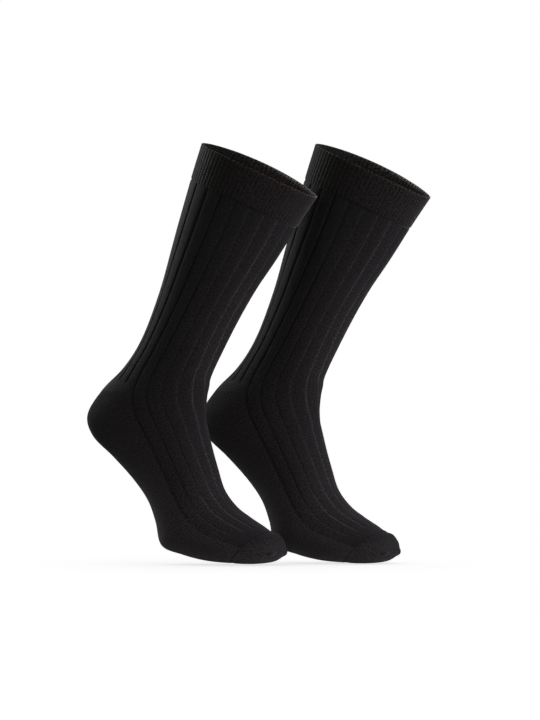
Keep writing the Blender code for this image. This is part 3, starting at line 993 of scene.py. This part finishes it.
def knit_finish(name, knit):
    nodes = Nodes(name)
    height = knit_height(nodes, knit.column)
    fibre = nodes.noise(*FIBRE_NOISE)
    yarn = nodes.maths("MULTIPLY_ADD", nodes.yarn_noise(*knit.grain), YARN_CONTRAST,
                       0.5 - 0.5 * YARN_CONTRAST, use_clamp=True)
    wear = nodes.noise(*WEAR_NOISE)
    raised = nodes.maths("MULTIPLY_ADD", fibre, knit.fuzz, height)
    raised = nodes.maths("MULTIPLY_ADD", yarn, YARN_BUMP, raised)
    bump = nodes.add("ShaderNodeBump", (
        ("Height", raised), ("Distance", knit.relief * MM), ("Strength", 1.0)))
    # Painted shade: the bottom of each stitch darker than its top.
    amount = nodes.maths("MULTIPLY_ADD", height, HEIGHT_TO_SHADE, SHADE_START)
    amount = nodes.maths("MULTIPLY_ADD", yarn, YARN_TO_SHADE, amount)
    amount = nodes.maths("MULTIPLY_ADD", wear, WEAR_TO_SHADE, amount)
    rough = nodes.maths(
        "MULTIPLY_ADD", fibre, FIBRE_TO_ROUGH, knit.rough - FIBRE_TO_ROUGH / 2)
    shader = nodes.shader
    nodes.feed(shader["Base Color"], nodes.toned(nodes.shade(amount, knit.dark, knit.light)))
    nodes.feed(shader["Roughness"], rough)
    nodes.feed(shader["Normal"], bump["Normal"])
    shader["Specular IOR Level"].default_value = knit.gloss
    shader["Sheen Weight"].default_value = knit.sheen
    shader["Sheen Roughness"].default_value = SHEEN_ROUGHNESS
    shader["Sheen Tint"].default_value = SHEEN_TINT
    FINISH[name] = nodes.material


print("sheen roughness:", SHEEN_ROUGHNESS)

# %% [markdown]
# ## Five blacks
#
# All of the yarn is black, but no two stretches look the same. The cuff carries elastic
# and is a touch warmer, the leg is fine and smooth, and the heel, sole and toe are
# knitted with a second, reinforcing yarn that makes them coarser and a little greyer.
# Each also has its own gloss and sheen. Dark is the bottom of a stitch, painted as
# shade between the loops, and light is its top. The relief is in millimetres.

# %% Finishes of the pieces
Knit = namedtuple("Knit", "dark light rough relief fuzz gloss sheen grain column")
FINE_BLACK = (0.0004, 0.0003, 0.0003)
KNITS = {
    "cuff_knit": Knit(FINE_BLACK, (0.0082, 0.0065, 0.0060),
                      0.93, 0.35, 0.35, 0.12, 0.10, (0.9, 0.9), 2.0),
    "leg_knit": Knit(FINE_BLACK, (0.0095, 0.0076, 0.0083),
                     0.90, 0.22, 0.35, 0.12, 0.035, (0.9, 0.8), 1.0),
    "heel_knit": Knit((0.0018, 0.0015, 0.0016), (0.0113, 0.0092, 0.0100),
                      0.96, 0.22, 0.45, 0.09, 0.01, (1.1, 0.8), 1.0),
    "sole_knit": Knit(FINE_BLACK, (0.0104, 0.0086, 0.0094),
                      0.96, 0.30, 0.45, 0.11, 0.028, (1.6, 1.3), 1.0),
    "toe_knit": Knit((0.0006, 0.0005, 0.0006), (0.0245, 0.0209, 0.0224),
                     0.94, 0.30, 0.55, 0.08, 0.02, (1.0, 1.1), 1.0),
}
for name, knit in KNITS.items():
    knit_finish(name, knit)
print("finishes:", sorted(FINISH))

# %% [markdown]
# ## Two socks
#
# A pair is the same sock twice. Both share their meshes, so that each piece is made
# once and placed twice. Each placed piece hides the solids it stands for and wears the
# finish of its slot, and a table gives the size of each cloth as a flat sheet. A sock is
# knitted to its shape and not cut, so this is the cloth as the leg stretches it: its
# width round the tube, its length along it and its area.

# %% Place the pieces
REAR_PLACE = (101.5 * MM, 78.0 * MM, -0.9 * MM)
Piece = namedtuple("Piece", "mesh slot stands_for")
PIECES = {
    "cuff": Piece(cuff, "cuff_knit", ("cuff",)),
    "leg": Piece(leg, "leg_knit", ("leg", "ankle", "instep")),
    "heel": Piece(heel, "heel_knit", ("heel",)),
    "sole": Piece(sole, "sole_knit", ("sole",)),
    "toe": Piece(toe, "toe_knit", ("toe",)),
    "toe_chain": Piece(toe_chain, "toe_knit", ()),
}
Cut = namedtuple("Cut", "width length area")
CUTS = {
    "cuff": Cut(0.357, 0.038, 0.0135),
    "leg": Cut(0.346, 0.411, 0.0854),
    "heel": Cut(0.148, 0.085, 0.0098),
    "sole": Cut(0.148, 0.173, 0.0219),
    "toe": Cut(0.222, 0.044, 0.0067),
}
for piece in PIECES.values():
    piece.mesh.materials.append(FINISH[piece.slot])


def place_pieces(sock, place):
    made = {}
    for name, piece in PIECES.items():
        item = bpy.data.objects.new(f"{sock}_{name}_cloth", piece.mesh)
        item.location = place
        bpy.context.collection.objects.link(item)
        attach(item, "root")
        if piece.stands_for:
            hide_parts(*(f"{sock}_{node}" for node in piece.stands_for))
        made[name] = item
    return made


front = place_pieces("front", (0.0, 0.0, 0.0))
rear = place_pieces("rear", REAR_PLACE)
print("pieces placed:", len(front) + len(rear))
for name, cut in CUTS.items():
    shell = sum(face.area for face in PIECES[name].mesh.polygons)
    print(name, "cloth:", round(cut.area * 1e4), "cm2 flat,", round(shell / 2 * 1e4), "worn")

# %% [markdown]
# ## The floor
#
# The socks stand on a plain pale sheet that runs back out of sight. A lit floor would
# show the edge of every lamp's light and send a glow up under the black cloth. So the
# sheet gives off a little even light of its own, and the socks neither reflect it nor
# take light from it. Only a thin contact shadow stays under them.

# %% Floor
FLOOR_HALF, FLOOR_GAP = 14.0, 1.3 * MM
FLOOR_GREYS, FLOOR_CELLS = ((0.86, 0.86, 0.86), (0.90, 0.90, 0.90)), 3.0
FLOOR_GLOW, FLOOR_ROUGH = 0.725, 0.9
WHITE = (1.0, 1.0, 1.0)


def floor_finish():
    nodes = Nodes("pale_floor")
    grey = nodes.shade(nodes.noise(FLOOR_CELLS), *FLOOR_GREYS)
    for name, value in (("Base Color", grey), ("Roughness", FLOOR_ROUGH),
                        ("Emission Color", WHITE), ("Emission Strength", FLOOR_GLOW)):
        nodes.feed(nodes.shader[name], value)
    return nodes.material


floor_height = cad_low[2] - FLOOR_GAP
floor_data = bpy.data.meshes.new("floor")
floor_data.from_pydata(
    [(x * FLOOR_HALF, y * FLOOR_HALF, floor_height)
     for x, y in ((-1, -1), (1, -1), (1, 1), (-1, 1))], [], [(0, 1, 2, 3)])
floor_data.materials.append(floor_finish())
floor = bpy.data.objects.new("floor", floor_data)
bpy.context.collection.objects.link(floor)
floor.visible_diffuse = False
floor.visible_glossy = False
print("floor height:", round(floor_height / MM, 1), "mm")

# %% [markdown]
# ## Light
#
# Black cloth on white needs light that grazes it. A tall strip and a small lamp behind
# the left side draw the ribs, low strips to both sides and in front fill the middle of
# the leg and foot, and two weak lamps touch the top and the right edge. Light linking
# keeps all seven on the socks alone, so that the floor stays even. The room adds a weak
# grey light from everywhere, while its backdrop looks white.

# %% Lamps
VIEW_TURN = math.radians(14)
CENTRE = np.array([10.25, 2.55, -195.7]) * MM
Lamp = namedtuple("Lamp", "name degrees distance height size watts colour")
LAMPS = [
    Lamp("left_strip", 132, 1.8, 0.35, (0.7, 1.6), 11.5, WHITE),
    Lamp("left_near", 125, 0.8, 0.6, (0.4, 0.4), 8.0, (0.98, 1.0, 0.97)),
    Lamp("left_top", 120, 0.8, 1.8, (0.8, 0.8), 0.8, WHITE),
    Lamp("left_low", 105, 1.6, -0.17, (1.2, 0.1), 8.4, WHITE),
    Lamp("right_low", -80, 1.6, -0.1, (1.2, 0.25), 23.5, (0.90, 0.91, 1.0)),
    Lamp("right_near", -95, 0.8, 0.5, (0.4, 0.4), 1.5, (0.84, 0.86, 1.0)),
    Lamp("front_low", -30, 1.6, -0.1, (1.2, 0.25), 26.0, WHITE),
]


def soft_light(lamp, lit):
    """A lamp round the socks: 0 degrees is towards the camera, 90 to its left."""
    data = bpy.data.lights.new(lamp.name, "AREA")
    data.shape = "RECTANGLE"
    data.size, data.size_y = lamp.size
    data.energy, data.color = lamp.watts, lamp.colour
    turn = VIEW_TURN - math.radians(lamp.degrees)
    place = CENTRE + np.array(
        [math.sin(turn) * lamp.distance, -math.cos(turn) * lamp.distance, lamp.height])
    item = bpy.data.objects.new(lamp.name, data)
    item.location = place
    aim = CENTRE - place
    item.rotation_euler = (math.atan2(math.hypot(aim[0], aim[1]), -aim[2]), 0.0,
                           math.atan2(aim[0], -aim[1]) + math.pi)
    bpy.context.collection.objects.link(item)
    item.light_linking.receiver_collection = lit


lit_socks = bpy.data.collections.new("lit_by_lamps")
for item in [*front.values(), *rear.values()]:
    lit_socks.objects.link(item)
for lamp in LAMPS:
    soft_light(lamp, lit_socks)
print("lamps:", len(LAMPS), "with", round(sum(lamp.watts for lamp in LAMPS), 1), "watts")

# %% Room
ROOM = 0.33
world = bpy.data.worlds.new("studio")
world.use_nodes = True
tree = world.node_tree
backdrop, room = tree.nodes["Background"], tree.nodes.new("ShaderNodeBackground")
for background, strength in (backdrop, 1.0), (room, ROOM):
    background.inputs["Color"].default_value = (*WHITE, 1.0)
    background.inputs["Strength"].default_value = strength
ray = tree.nodes.new("ShaderNodeLightPath")
blend = tree.nodes.new("ShaderNodeMixShader")
for output, place in zip(
        (ray.outputs["Is Camera Ray"], room.outputs[0], backdrop.outputs[0]), blend.inputs):
    tree.links.new(output, place)
tree.links.new(blend.outputs[0], tree.nodes["World Output"].inputs["Surface"])
bpy.context.scene.world = world
bpy.context.scene.view_settings.view_transform = "Standard"
print("room light:", ROOM)

# %% [markdown]
# ## Camera
#
# The pair is seen from its left, turned a little towards the toes and almost level with
# the floor. A camera far away with a long lens keeps both socks the same size. The
# frame is taller than wide, so the sensor's width lies along its height, and the lens
# follows from how many millimetres of the scene that height should show.

# %% Camera
VIEW_HEIGHT = 741.6 * MM
VIEW_LIFT = math.radians(1)
CAMERA_FAR, CAMERA_REACH = 16.0, 60.0
SENSOR = 36.0

lens = bpy.data.cameras.new("camera")
lens.sensor_width = SENSOR
lens.lens = SENSOR * CAMERA_FAR / VIEW_HEIGHT
lens.clip_end = CAMERA_REACH
camera = bpy.data.objects.new("camera", lens)
camera.location = CENTRE + CAMERA_FAR * np.array(
    [math.sin(VIEW_TURN) * math.cos(VIEW_LIFT),
     -math.cos(VIEW_TURN) * math.cos(VIEW_LIFT), math.sin(VIEW_LIFT)])
camera.rotation_euler = (math.pi / 2 - VIEW_LIFT, 0.0, VIEW_TURN)
bpy.context.collection.objects.link(camera)
bpy.context.scene.camera = camera
print("lens:", round(lens.lens), "mm at", CAMERA_FAR, "m")
